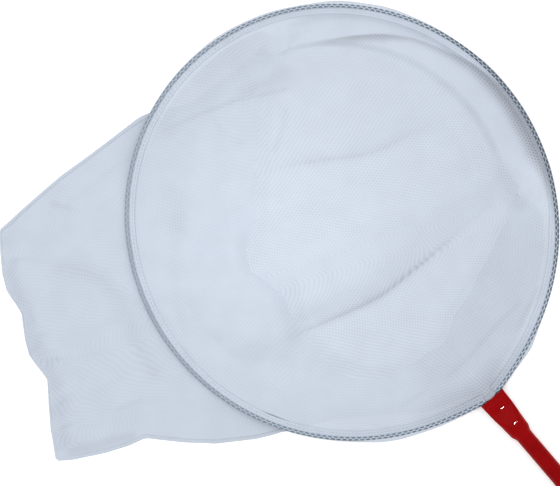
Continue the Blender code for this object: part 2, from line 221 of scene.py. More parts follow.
def grid_object(name, points, left, right, finish, strips=1):
    """A smooth mesh over a grid of points (rows, columns, 3), its last column joined to its first.

    left and right are the cloth's own coordinates, in metres, at the two sides of each column
    of faces. For texture baking the rows are also laid out in strips over a square.
    """
    rows, columns = points.shape[:2]
    index = np.arange(rows * columns).reshape(rows, columns)
    after = np.roll(index, -1, 1)
    quads = np.stack([index[:-1], index[1:], after[1:], after[:-1]], -1).reshape(-1, 4)
    mesh = bpy.data.meshes.new(name)
    mesh.from_pydata(points.reshape(-1, 3).tolist(), [], quads.tolist())
    add_uv(mesh, "cloth", np.stack([left[:-1], left[1:], right[1:], right[:-1]], 2))
    per_strip = math.ceil((rows - 1) / strips)
    row, column = np.meshgrid(np.arange(rows - 1), np.arange(columns), indexing="ij")
    strip = row // per_strip
    edge, side = BAKE_MARGINS
    baked = []
    for row_step, column_step in ((0, 0), (1, 0), (1, 1), (0, 1)):
        x = edge + (1 - 2 * edge) * (row - strip * per_strip + row_step) / per_strip
        y = (strip + side + (1 - 2 * side) * (column + column_step) / columns) / strips
        baked.append(np.stack([x, y], -1))
    add_uv(mesh, "OFBake", np.stack(baked, 2))
    mesh.shade_smooth()
    mesh.materials.append(finish)
    return new_object(name, mesh)


def sweep_object(name, sections, finish, across=None, strips=1):
    """A grid of closed sections along a path: its own coordinates are along the path and across."""
    middle = sections.mean(1)
    steps = lengths(np.diff(middle, axis=0))
    along = np.concatenate([[0], np.cumsum(steps)])
    if across is None:
        loop = np.concatenate([sections, sections[:, :1]], 1)
        widths = lengths(np.diff(loop, axis=1)).mean(0)
        across = np.concatenate([[0], np.cumsum(widths)])
    u, v = np.meshgrid(along, across, indexing="ij")
    places = np.stack([u, v], -1)
    return grid_object(name, sections, places[:, :-1], places[:, 1:], finish, strips=strips)


def tube_sections(path, radius, sides, flatten=1.0):
    """Sections of a level tube along a path: flatten squashes it in height."""
    ahead = unit(np.gradient(path, axis=0))
    side = np.column_stack([ahead[:, 1], -ahead[:, 0], np.zeros(len(path))])
    side /= np.maximum(lengths(side), 1e-9)[:, None]
    up = np.cross(side, ahead)
    a = np.linspace(0, 2 * np.pi, sides, endpoint=False)[None, :, None]
    return path[:, None] + radius * (np.cos(a) * side[:, None] + flatten * np.sin(a) * up[:, None])


# The bag laid out. Its slack is folded in from the hoop as a shelf, returns, and runs to the seam.

BAG_ANGLES = np.concatenate([
    np.linspace(LEFT_SEAM, RIGHT_SEAM, FAR_COLUMNS, endpoint=False),
    np.linspace(RIGHT_SEAM, LEFT_SEAM + 2 * np.pi, NEAR_COLUMNS, endpoint=False),
])
TURNS = np.degrees(BAG_ANGLES)
NEAR = np.arange(FAR_COLUMNS + NEAR_COLUMNS) >= FAR_COLUMNS
# 1 where the cloth drops from the hem as a plain wall, 0 where its slack is folded
WALL_TURNS = (-86, 10, 10, 14)
WALL = np.clip(ring_smooth(window(TURNS, *WALL_TURNS), 1.5), 0, 1)
# Turns at which the returning slack is tucked under the hem
PLEATED_BY_HANDLE, PLEATED_LEFT = (6, 10, 10, 106), (258, 16)
# How far in from the hoop the cloth is folded back, by the turn
FOLD_DEPTH = (
    (-81, 0.022), (-66, 0.02), (-54, 0.013), (-42, 0.007), (-30, 0.007), (-18, 0.008),
    (-6, 0.009), (6, 0.009), (14, 0.027), (28, 0.055), (45, 0.072), (60, 0.076), (72, 0.07),
    (84, 0.058), (95, 0.054), (112, 0.066), (145, 0.117), (180, 0.125), (220, 0.122),
    (254, 0.103), (270, 0.045),
)
# The mouth lies under the hem and reaches into the neck
HEM_OVERLAP, MOUTH_DROP = 0.001, 0.0017
MOUTH_REACH, MOUTH_SPREAD = 0.0104, math.radians(5)
# How far the slack returns: shares of the way to the seam, or the depth of a tuck
RETURN_SHARE, LESS_AT_WALL, TUCK = 0.14, 0.1, 0.004
# Heights over the floor, and how they change
FLOOR_GAP, NEAR_GAP, SEAM_HEIGHT = 0.0009, 0.0018, 0.0025
FAR_FOLD, NEAR_FOLD, WALL_FOOT = 0.0042, 0.0032, 0.0018
FOLD_STEP, RETURN_LIFT, LIFT_FADE = 0.0006, 0.0004, 12
WALL_FALL, SEAM_RISE = (0.35, 0.65), (0.9, 0.1)
# Layers of the near and of the far cloth
SHELF_LAYERS, RETURN_LAYERS, RUN_LAYERS = (4, 3), (3, 2), (2, 0)


def move_sides(points, p, q, left, right):
    """Moves cloth whose sides lie at left and right to the bag's two wavy side edges."""
    share = np.clip((q - left) / (right - left), 0, 1)
    shift = (look_up(LEFT_EDGE, p) - left) * (1 - share) ** 2
    shift = shift + (look_up(RIGHT_EDGE, p) - right) * share ** 2
    points[..., :2] = plan(p, q + shift * ramp(p, *EDGES_FROM))


def lay_out_bag():
    """The folded bag before it settles: points (rows, columns, 3) and each point's layer."""
    world = FAR_DIRECTION - BAG_ANGLES
    off_axis = np.arctan2(np.sin(world), np.cos(world))
    reach = MOUTH_REACH * np.exp(-(off_axis / MOUTH_SPREAD) ** 2)
    inset = HEM_RADIUS + hem_band(world) - HEM_OVERLAP
    top = hoop_points(world, reach - inset, NECK_ROUNDING)
    inwards = -unit(top)
    depth = look_up(FOLD_DEPTH, TURNS, period=360)
    depth = ring_smooth(depth * (1 + waves(BAG_ANGLES, ((0.05, 5, 1), (0.03, 9, 2)))), 2.5)
    fold = top + inwards * depth[:, None]
    share = np.where(
        NEAR,
        1 - (BAG_ANGLES - RIGHT_SEAM) / (LEFT_SEAM + 2 * np.pi - RIGHT_SEAM),
        (BAG_ANGLES - LEFT_SEAM) / (RIGHT_SEAM - LEFT_SEAM),
    )
    q = BOTTOM_SEAM[0][0] + share * (BOTTOM_SEAM[-1][0] - BOTTOM_SEAM[0][0])
    bottom = plan(look_up(BOTTOM_SEAM, q), q)
    pleated = window(TURNS, *PLEATED_BY_HANDLE) + ramp(TURNS, *PLEATED_LEFT)
    pleated = np.clip(ring_smooth(pleated, 2.0), 0, 1)
    straight = fold + (bottom - fold) * (RETURN_SHARE - LESS_AT_WALL * WALL)[:, None]
    tucked = top + inwards * np.minimum(TUCK, 0.5 * depth)[:, None]
    back = straight + (tucked - straight) * pleated[:, None]

    rows, layers = [], []

    def add_row(places, heights, near_layer, far_layer):
        rows.append(np.column_stack([places, heights]))
        layers.append(np.where(NEAR, near_layer, np.where(WALL > 0.5, 0, far_layer)))

    hem_z = AXIS_HEIGHT - MOUTH_DROP
    base = np.where(NEAR, NEAR_GAP, FLOOR_GAP)
    fold_z = ring_smooth(np.where(NEAR, NEAR_FOLD, FAR_FOLD), 3.0) * (1 - WALL) + WALL_FOOT * WALL
    for j in range(SHELF_ROWS):
        t = j / SHELF_ROWS
        fall = t + (ramp(t, *WALL_FALL) - t) * WALL
        add_row(top + (fold - top) * t, hem_z + (fold_z - hem_z) * fall, *SHELF_LAYERS)
    for j in range(RETURN_ROWS):
        t = j / RETURN_ROWS
        begin = np.maximum(fold_z - FOLD_STEP, base + RETURN_LIFT)
        height = begin + (base + RETURN_LIFT - begin) * t
        add_row(fold + (back - fold) * t, height, *RETURN_LAYERS)
    for j in range(RUN_ROWS + 1):
        t = j / RUN_ROWS
        z = base + RETURN_LIFT * (1 - smooth_step(t * LIFT_FADE))
        z = z + (SEAM_HEIGHT - z) * ramp(t, *SEAM_RISE)
        add_row(back + (bottom - back) * t, z, *RUN_LAYERS)
    points = np.array(rows)
    p, q = along_across(points)
    move_sides(points, p, q, *(look_up((edge[0], edge[-1]), p) for edge in (LEFT_EDGE, RIGHT_EDGE)))
    return points, np.array(layers)


# Folds and creases of the bag

# Folds of the far panel on the floor, and of the near panel over the tail, along lines of (p, q)
FLOOR_FOLDS = (
    dict(line=((-0.146, 0.0395), (-0.004, 0.081), (0.077, 0.081), (0.15, 0.085)),
         reach=0.012, over=0.0105, height=0.017, crest=0.062, foot=0.15),
    dict(line=((-0.15, -0.055), (-0.053, -0.045), (0.028, -0.069), (0.1, -0.075)),
         reach=0.008, over=0.0034, height=0.0024, crest=0.02, foot=0.06),
)
# How dark the shade painted along each floor fold is
FLOOR_FOLD_SHADES = (0.5, 0.3)
TAIL_FOLDS = (
    dict(line=((0.15, -0.01), (0.214, -0.018), (0.222, -0.038), (0.28, -0.08), (0.31, -0.1)),
         reach=0.014, over=0.005, height=0.0036, crest=0.026, foot=0.065),
    dict(line=((0.12, 0.04), (0.2, 0.03), (0.26, 0.022), (0.32, 0.004)),
         reach=0.015, over=0.004, height=0.003, crest=0.026, foot=0.06),
    dict(line=((0.18, 0.1), (0.24, 0.075), (0.33, 0.07)),
         reach=0.014, over=0.004, height=0.0034, crest=0.024, foot=0.055),
)
TAIL_FOLDS_FROM = 0.14
# How a fold's line is rounded, how it fades at its ends, and its share of height at the line
FOLD_ROUNDING, FOLD_FADES, FOLD_LEAD, FOLD_FOOT = 0.012, (0.03, 0.05), 0.3, 0.22
# In half breadths: its fall at its line, and from where it lies a layer higher
FOLD_FALL, RAISED_FROM, RAISED_ENDS = (-0.55, 1.1), -2.2, 0.2
# Small creases: how dark the shade painted along each is, which also sets its low ridge, their half
# breadth and their line of (p, q)
CREASES = (
    (0.22, 0.012, ((0.258, -0.064), (0.238, -0.051), (0.225, -0.035), (0.218, -0.01),
                   (0.22, 0.017), (0.217, 0.059))),
    (0.24, 0.012, ((0.305, -0.077), (0.306, -0.047), (0.31, -0.013), (0.306, 0.013),
                   (0.305, 0.034), (0.314, 0.066), (0.321, 0.088))),
    (0.3, 0.007, ((0.317, 0.097), (0.294, 0.102), (0.274, 0.103), (0.26, 0.106))),
    (0.26, 0.004, ((0.241, -0.122), (0.229, -0.112))),
    (0.18, 0.004, ((0.261, 0.079), (0.238, 0.078))),
    (0.14, 0.003, ((0.233, -0.116), (0.196, -0.125), (0.157, -0.134))),
    (0.14, 0.007, ((0.13, -0.083), (0.143, -0.058), (0.159, -0.03), (0.172, 0.015),
                   (0.176, 0.039))),
    (0.18, 0.003, ((0.186, 0.017), (0.178, 0.068))),
    (0.16, 0.006, ((0.074, -0.143), (0.069, -0.121), (0.059, -0.106))),
    (0.2, 0.004, ((0.031, -0.086), (0.016, -0.102), (0.007, -0.116))),
    (0.14, 0.002, ((0.077, -0.05), (0.047, -0.078))),
    (0.3, 0.004, ((0.12, -0.144), (0.081, -0.145), (0.046, -0.144), (0.021, -0.139),
                  (-0.001, -0.135))),
    (0.26, 0.014, ((0.035, -0.147), (-0.005, -0.146))),
    (0.22, 0.012, ((0.134, -0.088), (0.142, -0.055))),
    (0.16, 0.005, ((-0.148, 0.107), (-0.135, 0.12), (-0.122, 0.135))),
    (0.32, 0.0055, ((-0.122, 0.135), (-0.104, 0.142), (-0.086, 0.15), (-0.06, 0.163),
                    (-0.036, 0.171))),
    (0.24, 0.0055, ((-0.036, 0.171), (-0.008, 0.177), (0.018, 0.18))),
    (0.34, 0.007, ((-0.143, 0.13), (-0.114, 0.154))),
    (0.26, 0.013, ((-0.158, 0.017), (-0.158, 0.051))),
)
CREASE_HEIGHT = 0.001


def crease_share(points):
    """How strongly each point lies on a small crease, from 0 to 1."""
    place = np.stack(along_across(points), -1)
    share = np.zeros(place.shape[:-1])
    for amount, breadth, line in CREASES:
        for start, way in zip(line, np.diff(line, axis=0)):
            along = np.clip((place - start) @ way / (way @ way), 0, 1)
            off = lengths(place - start - along[..., None] * way)
            share = np.maximum(share, amount * np.exp(-(off / breadth) ** 2))
    return share


def fold_line(line, p):
    """How far across a fold lies at p: a soft curve along its line of (p, q)."""
    line = np.array(line)
    longer = np.vstack([2 * line[0] - line[1], line, 2 * line[-1] - line[-2]])
    across = np.zeros_like(p)
    for step, weight in ((-2, 1), (-1, 4), (0, 6), (1, 4), (2, 1)):
        across += weight / 16 * look_up(longer, p + step * FOLD_ROUNDING)
    return across


def pleat(points, layers, cloth, line, reach, over, height, crest, foot):
    """A fold along a line: the cloth swells to a crest before it, drops to it and tucks under.

    reach is the half breadth of the tuck and over how far it laps. crest and foot are how far
    before the line the swelling is highest and where it starts.
    """
    p, q = along_across(points)
    x = q - fold_line(line, p)
    ends = smooth_step((p - line[0][0]) / FOLD_FADES[0] + FOLD_LEAD)
    ends = ends * smooth_step((line[-1][0] - p) / FOLD_FADES[1] + FOLD_LEAD)
    s = x / reach
    moved = plan(p, q - over * ends * s * np.exp(0.5 - 0.5 * s * s))
    before = np.maximum(-x - 0.5 * reach, 0)
    rising = FOLD_FOOT + (1 - FOLD_FOOT) * (1 - (1 - np.minimum(before / crest, 1)) ** 2)
    swell = rising * (1 - ramp(before, crest, foot - crest))
    swell *= 1 - ramp(s, *FOLD_FALL)
    points[..., :2] = np.where(cloth[..., None], moved, points[..., :2])
    points[..., 2] += np.where(cloth, height * ends * swell, 0)
    layers[cloth & (s > RAISED_FROM) & (s < 0) & (ends > RAISED_ENDS)] += 1


# Settling

# Pairs of points that are too short push back less than long ones pull, least on the bias
SETTLE_STEPS, YARN_PUSH, BIAS_PUSH, BIAS_PULL = 120, 0.6, 0.1, 0.4
FLATTENING, MOVE_SHARE = 0.12, 0.45
SAG, DRAG, SPEED_SHARE, SPEED_LIMIT = 0.00004, 0.9, 0.5, 0.0004
SEAM_FREEDOM, SEAM_RETURN, CEILING = 0.25, 0.3, 0.024
LAYER_CELL, LAYER_GAP, LAYER_STEPS = 0.004, 0.00035, 5
# Wrinkles before settling
WRINKLE_HEIGHT, WRINKLE_LEVEL, WRINKLE_STRETCH, WRINKLE_ROWS = 0.0012, 0.6, 0.45, 10
# Slack in the cloth's lengths, as a mean and its spread
SLACK_ALONG, SLACK_ACROSS = (0.008, 0.008), (0.022, 0.018)
SLACK_ROWS, LAYER_SHIFT = 16, 0.21
SOFTEN_PASSES, SOFTENING = 2, 0.25
# Rows straightened before and after the wall's foot
STRAIGHT_ROWS, HANG_SLOPE = (10, 4), 0.12
# Height of the roll of slack at the far wall's foot, by the turn
ROLL_HEIGHT = (
    (-84, 0), (-70, 0.004), (-54, 0.004), (-42, 0.003), (-30, 0.003), (-18, 0.004),
    (-2, 0.004), (7, 0),
)
ROLL_RISE, ROLL_FALL = (0.0, 0.011), (0.016, 0.06)
# How the cloth rises under the wire, and where in p and in q
NEAR_LIFT, FAR_LIFT, LIFT_BREADTH = 0.0046, 0.0028, 0.026
LIFT_FROM, LIFT_SIDES = (0.08, 0.05), (0.1, 0.04)
# How the folds' edges are sunk, and at what turns of the far panel
SUNK_GAP, NEAR_SINK, FAR_SINK = 0.0004, 0.036, 0.02
SUNK_RIGHT, SUNK_LEFT = (3, 8), (70, 13)


def edge_pull(first, second, rest, push):
    """Half of what each pair of points must move to get back to its length."""
    gap = second - first
    length = lengths(gap)[..., None]
    stretch = (length - rest[..., None]) / np.maximum(length, 1e-9)
    stretch = np.where(stretch > 0, stretch, stretch * push)
    return 0.5 * stretch * gap


def keep_layers_apart(points, layers):
    """Lifts each layer clear of what lies under it, on a grid of cells."""
    low = points[..., :2].min((0, 1)) - 2 * LAYER_CELL
    place = ((points[..., :2] - low) / LAYER_CELL).astype(int)
    top = np.full(place.max((0, 1)) + 3, -1.0)
    for layer in range(layers.max() + 1):
        mine = layers == layer
        at = (place[mine][:, 0], place[mine][:, 1])
        if layer:
            spread = top.copy()
            for axis in (0, 1):
                beside = np.maximum(np.roll(spread, 1, axis), np.roll(spread, -1, axis))
                spread = np.maximum(spread, beside)
            points[mine, 2] = np.maximum(points[mine, 2], spread[at] + LAYER_GAP)
        np.maximum.at(top, at, points[mine, 2])


def settle(points, layers, slack_along, slack_across):
    """Lets the cloth sag and wrinkle: lengths are kept, edges of the hoop and the seam are held."""
    nxt = np.roll(points, -1, 1)
    rest_u = lengths(nxt - points) * (1 + slack_across)
    rest_v = lengths(points[1:] - points[:-1]) * (1 + slack_along[1:])
    rest_a = lengths(nxt[1:] - points[:-1])
    rest_b = lengths(points[1:] - nxt[:-1])
    free = np.ones(points.shape[:2] + (1,))
    free[0] = 0
    free[-1] = SEAM_FREEDOM
    home = points[-1].copy()
    velocity = np.zeros_like(points)
    for step in range(SETTLE_STEPS):
        before = points.copy()
        velocity *= DRAG
        points += velocity * free
        points[..., 2] -= SAG * free[..., 0]
        for _ in range(2):
            move = np.zeros_like(points)
            nxt = np.roll(points, -1, 1)
            d = edge_pull(points, nxt, rest_u, YARN_PUSH)
            move += d - np.roll(d, 1, 1)
            d = edge_pull(points[:-1], points[1:], rest_v, YARN_PUSH)
            move[:-1] += d
            move[1:] -= d
            d = edge_pull(points[:-1], nxt[1:], rest_a, BIAS_PUSH)
            move[:-1] += BIAS_PULL * d
            move[1:] -= BIAS_PULL * np.roll(d, 1, 1)
            d = edge_pull(nxt[:-1], points[1:], rest_b, BIAS_PUSH)
            move[:-1] += BIAS_PULL * np.roll(d, 1, 1)
            move[1:] -= BIAS_PULL * d
            move += FLATTENING * ((nxt + np.roll(points, 1, 1)) / 2 - points)
            points += MOVE_SHARE * move * free
        points[-1] += SEAM_RETURN * (home - points[-1])
        points[..., 2] = np.clip(points[..., 2], FLOOR_GAP, CEILING)
        if step % LAYER_STEPS == 0 or step == SETTLE_STEPS - 1:
            keep_layers_apart(points, layers)
        velocity = np.clip(points - before, -SPEED_LIMIT, SPEED_LIMIT) * SPEED_SHARE


def soften(points):
    """Takes small lumps out of the cloth's heights."""
    z = points[..., 2]
    for _ in range(SOFTEN_PASSES):
        z += SOFTENING * (np.roll(z, 1, 1) + np.roll(z, -1, 1) - 2 * z)
        z[1:-1] += SOFTENING * (z[2:] + z[:-2] - 2 * z[1:-1])


def hold_side_edges(points):
    """Puts the bag's two side edges back where they lay before the settling cloth drew them in."""
    run = points[RUN_START:]
    p, q = along_across(run)
    sides = []
    for column in (0, FAR_COLUMNS):
        order = np.argsort(p[:, column])
        sides.append(np.interp(p, p[order, column], q[order, column]))
    move_sides(run, p, q, *sides)


def hang_from_hem(points):
    """Eases the cloth's first drop from the hem, which settling leaves too steep."""
    shelf = points[:SHELF_ROWS]
    out = lengths(shelf[..., :2] - points[0, :, :2])
    held = points[0, :, 2] - HANG_SLOPE * out
    shelf[..., 2] += (1 - WALL) * np.maximum(held - shelf[..., 2], 0)


def straighten_wall(points):
    """Pulls the foot of the far wall out of the sharp crease that settling leaves there."""
    stretch = points[SHELF_ROWS - STRAIGHT_ROWS[0]:RUN_START + STRAIGHT_ROWS[1] + 1]
    share = np.linspace(0, 1, len(stretch))[:, None]
    for axis, eased in enumerate((share, share, smooth_step(share))):
        line = stretch[0, :, axis] + (stretch[-1, :, axis] - stretch[0, :, axis]) * eased
        stretch[..., axis] += WALL * (line - stretch[..., axis])


def raise_slack(points):
    """The roll at the foot of the far wall, and the cloth where it passes under the wire."""
    height = ring_smooth(np.where(NEAR, 0, look_up(ROLL_HEIGHT, TURNS)), 2.0)
    out = lengths(points[SHELF_ROWS:, :, :2] - points[SHELF_ROWS, :, :2])
    points[SHELF_ROWS:, :, 2] += height * (ramp(out, *ROLL_RISE) * (1 - ramp(out, *ROLL_FALL)))
    run = points[RUN_START:]
    radius = hoop_radius(np.arctan2(run[..., 1], run[..., 0]))
    from_wire = lengths(run[..., :2]) - radius
    lift = np.where(NEAR, NEAR_LIFT, FAR_LIFT) * np.exp(-(from_wire / LIFT_BREADTH) ** 2)
    p, q = along_across(run)
    run[..., 2] += lift * ramp(p, *LIFT_FROM) * (1 - ramp(np.abs(q), *LIFT_SIDES))


def sink_folds(points):
    """Sinks the edges of the folded slack into the cloth under them, so that none shows."""
    folded = points[:RUN_START]
    out = lengths(folded[..., :2] - points[SHELF_ROWS, :, :2])
    far = np.maximum(ramp(TURNS, *SUNK_RIGHT), ramp(-TURNS, *SUNK_LEFT))
    sunk = np.where(NEAR, 1, far) * (1 - smooth_step(out / np.where(NEAR, NEAR_SINK, FAR_SINK)))
    folded[..., 2] -= sunk * (folded[..., 2] - SUNK_GAP)


def refine(points):
    """Twice as many rows and columns, on smooth curves through the given ones."""
    before, after, beyond = np.roll(points, 1, 1), np.roll(points, -1, 1), np.roll(points, -2, 1)
    halves = (9 * (points + after) - before - beyond) / 16
    wide = np.stack([points, halves], 2).reshape(len(points), -1, 3)
    ends = np.concatenate([2 * wide[:1] - wide[1:2], wide, 2 * wide[-1:] - wide[-2:-1]])
    halves = (9 * (ends[1:-2] + ends[2:-1]) - ends[:-3] - ends[3:]) / 16
    tall = np.empty((2 * len(wide) - 1,) + wide.shape[1:])
    tall[0::2], tall[1::2] = wide, halves
    tall[..., 2] = np.maximum(tall[..., 2], SUNK_GAP)
    return tall


def settled_bag():
    """The bag's points (rows, columns, 3), pleated, settled and refined."""
    points, layers = lay_out_bag()
    floor_cloth = (layers == RUN_LAYERS[1]) & ~NEAR
    floor_cloth[:RUN_START] = False
    tail_cloth = (layers == RUN_LAYERS[0]) & NEAR & (along_across(points)[0] > TAIL_FOLDS_FROM)
    for folds, folded in ((FLOOR_FOLDS, floor_cloth), (TAIL_FOLDS, tail_cloth)):
        for fold in folds:
            pleat(points, layers, folded, **fold)
    row = np.arange(len(points))[:, None]
    p, q = along_across(points)
    wrinkle = lattice_noise(np.stack([p * WRINKLE_STRETCH, q], -1), scale=0.034, seed=5)
    fade = smooth_step(row / WRINKLE_ROWS)
    points[..., 2] += WRINKLE_HEIGHT * fade * (wrinkle + WRINKLE_LEVEL)
    shifted = np.stack([p, q], -1) + layers[..., None] * LAYER_SHIFT
    slack = lattice_noise(shifted, scale=0.09, seed=11)
    near_seam = smooth_step((len(points) - 1 - row) / SLACK_ROWS)
    slack_across = (SLACK_ACROSS[0] + SLACK_ACROSS[1] * slack) * near_seam
    slack_along = SLACK_ALONG[0] + SLACK_ALONG[1] * slack
    settle(points, layers, slack_along, slack_across)
    for ease in (soften, hold_side_edges, hang_from_hem, straighten_wall, raise_slack, sink_folds):
        ease(points)
    points[:-1, NEAR, 2] += CREASE_HEIGHT * crease_share(points[:-1, NEAR])
    return refine(points)


# The bag's mesh, and where shade is painted on it

# Painted shade near the rim, by the turn: how far in from the wire it starts, over what breadth,
# how dark
PAINTED_SHADE_TURNS = (
    (-150, 0.008, 0.05, 0), (-128, 0.008, 0.06, 0.26), (-100, 0.008, 0.07, 0.36),
    (-90, 0.008, 0.06, 0.3), (-84, 0.02, 0.03, 0), (-80, 0.03, 0.012, 0),
    (-70, 0.028, 0.014, 0.55), (-62, 0.023, 0.015, 0.8), (-54, 0.017, 0.015, 0.8),
    (-46, 0.012, 0.01, 0.6), (-36, 0.008, 0.012, 0.6), (-26, 0.003, 0.016, 0.75),
    (-16, 0, 0.02, 0.95), (-6, 0, 0.022, 1.0), (4, 0, 0.021, 1.0), (12, 0, 0.014, 0.8),
    (20, 0, 0.008, 0.4), (28, 0, 0.006, 0), (40, 0, 0.04, 0), (58, 0, 0.046, 0.3),
    (70, 0, 0.05, 0.58), (82, 0, 0.05, 0.6), (94, 0, 0.05, 0.28), (115, 0, 0.05, 0.2),
    (140, 0, 0.04, 0),
)
PAINTED_SHADE_EDGE = 0.003
# Painted shade of a floor fold: how dark and how broad along its line and before it, and how it
# fades at its ends
LINE_DARK, SIDE_DARK, DARK_ENDS = (0.6, 0.0044), (0.5, 0.018), (0.4, 0.5)
# Painted shade over the pleated slack by the handle, and the turns it covers
PLEAT_SHADE, PLEAT_TURNS = 0.23, (14, 12, 10, 94)
# How far the knit is pulled out of line, and over what length
MESH_PULL, MESH_PULL_LENGTH = 0.0005, 0.05


def painted_shade_amount(points):
    """Painted shade on the mesh, 0 to 1: at the far wall's foot, by the handle and in creases."""
    angles = np.arctan2(points[..., 1], points[..., 0])
    inside = hoop_radius(angles) - lengths(points[..., :2])
    turn = turn_from_far_side(angles)
    turns, *columns = np.array(PAINTED_SHADE_TURNS).T
    start, breadth, amount = (np.interp(turn, turns, values) for values in columns)
    painted_shade = amount * ramp(inside, start, PAINTED_SHADE_EDGE) * (1 - ramp(inside, start, breadth))
    p, q = along_across(points)
    for fold, shade in zip(FLOOR_FOLDS, FLOOR_FOLD_SHADES):
        line = fold["line"]
        first, last = line[0][0], line[-1][0]
        off = q - fold_line(line, p)
        ends = window(p, first, *(share * (last - first) for share in DARK_ENDS), last)
        at, before = (dark * np.exp(-(off / wide) ** 2) for dark, wide in (LINE_DARK, SIDE_DARK))
        painted_shade = np.maximum(painted_shade, shade * ends * (at + before * (off < 0)))
    return np.minimum(np.maximum(painted_shade, crease_share(points)), 1)


def make_bag(points, far_finish, near_finish):
    """The bag's mesh: down is the distance from the hoop along the cloth, u that across a panel."""
    rows, columns = points.shape[:2]
    steps = lengths(points[1:] - points[:-1])
    down = np.concatenate([np.zeros((1, columns)), np.cumsum(steps, 0)])
    widths = lengths(np.roll(points, -1, 1) - points)
    u = np.zeros((rows, columns))
    u[:, 1:] = np.cumsum(widths, 1)[:, :-1]
    half = columns // 2
    for first in (0, half):
        u[:, first:first + half] -= u[:, first + half // 2].copy()[:, None]
    left = np.stack([u, down], -1)
    right = np.stack([u + widths, np.roll(down, -1, 1)], -1)
    pulls = [lattice_noise(left, MESH_PULL_LENGTH, seed) for seed in (21, 22)]
    pulled = np.stack(pulls, -1) * MESH_PULL
    left, right = left + pulled, right + np.roll(pulled, -1, 1)
    bag = grid_object("mesh_bag", points, left, right, far_finish)
    bag.data.materials.append(near_finish)
    shelf = 2 * SHELF_ROWS
    on_near = np.zeros((rows - 1, columns), np.int32)
    on_near[:shelf] = on_near[:, half:] = 1
    bag.data.polygons.foreach_set("material_index", on_near.ravel())
    # Painted shade: at the wall's foot, by the handle, along folds and creases, and over the pleats
    painted_shade = painted_shade_amount(points)
    turns = np.degrees(np.linspace(LEFT_SEAM, RIGHT_SEAM, half, endpoint=False))
    pleats = PLEAT_SHADE * window(turns, *PLEAT_TURNS)
    painted_shade[:shelf, :half] = np.maximum(painted_shade[:shelf, :half], pleats)
    add_attribute(bag, SHADE_ATTRIBUTE, painted_shade)
    return bag


# Hem: a mesh sleeve round the wire, with a doubled flat band inside it and a flap of slack outside

HEM_START = math.radians(1.9)
HEM_RADIUS = 0.0022
CLOSED_RADIUS = HEM_RADIUS * 0.96
# The band is narrower at the far turns, where the bag's wall is steep
HEM_BAND, HEM_NARROWING, NARROW_TURNS = 0.0046, 0.002, (-34, 14, 14, 28)
# The band's place under the wire's centre, its slope and the gap in it
BAND_DROP, BAND_SLOPE, BAND_GAPS = 0.0008, 0.1, (0.0002, 0.0007)
HEM_STEPS, BAND_POINTS, ROUND_POINTS = 480, 8, 28
# Degrees round the wire, of the sleeve and of its flap
ROUND = np.linspace(-150, 150, ROUND_POINTS)
FLAP_DROP, FLAP_SPREAD = 24, 16
FLAP_HALF = 1.6 * FLAP_SPREAD
# Pitch of the stretched mesh, and the step between rows of holes, in pitches
HEM_PITCH, ROW_STEP = (0.0054, 0.0044), 3 ** 0.5 / 2
# By the turn: how far the flap stands out past the wire, how tight the mesh is, and how much shade
# is painted on it over the wire
HEM_MARGIN = (
    (-180, 0), (-130, 0.0003), (-110, 0.0018), (-90, 0.0022), (-80, 0.0022), (-67, 0.0042),
    (-45, 0.0024), (-36, 0.0008), (-25, 0.0012), (10, 0.001), (25, 0.0002), (45, 0.0004),
    (51, 0.001), (57, 0.0034), (64, 0.0012), (75, 0.0014), (88, 0.0028), (97, 0.0044),
    (106, 0.0024), (118, 0.0005), (180, 0),
)
HEM_TIGHT = (
    (-180, 0.9), (-140, 0.8), (-110, 0.55), (-67, 0.35), (-20, 0), (20, 0.1), (60, 0.3),
    (113, 0.3), (150, 0.75), (180, 0.9),
)
HEM_PAINTED_SHADE = ((-50, 0), (-20, 0.8), (10, 0.8), (40, 0.3), (70, 0))


def hem_band(angles):
    """How far the hem's flat band reaches in."""
    return HEM_BAND - HEM_NARROWING * window(turn_from_far_side(angles), *NARROW_TURNS)


def hem_section(margin, band):
    """The sleeve's section as (outwards, up) from the wire's centre: band, round, band."""
    gap = np.linspace(*BAND_GAPS, BAND_POINTS)
    band_out = -np.linspace(HEM_RADIUS + band, CLOSED_RADIUS, BAND_POINTS)
    band_up = -BAND_DROP + BAND_SLOPE * (band_out + HEM_RADIUS)
    flap = np.exp(-((ROUND + FLAP_DROP) / FLAP_SPREAD) ** 2)
    round_out = HEM_RADIUS * np.cos(np.radians(ROUND)) + margin * flap
    round_up = HEM_RADIUS * np.sin(np.radians(ROUND))
    out = np.concatenate([band_out, round_out, band_out[::-1]])
    up = np.concatenate([band_up - gap / 2, round_up, (band_up + gap / 2)[::-1]])
    return out, up


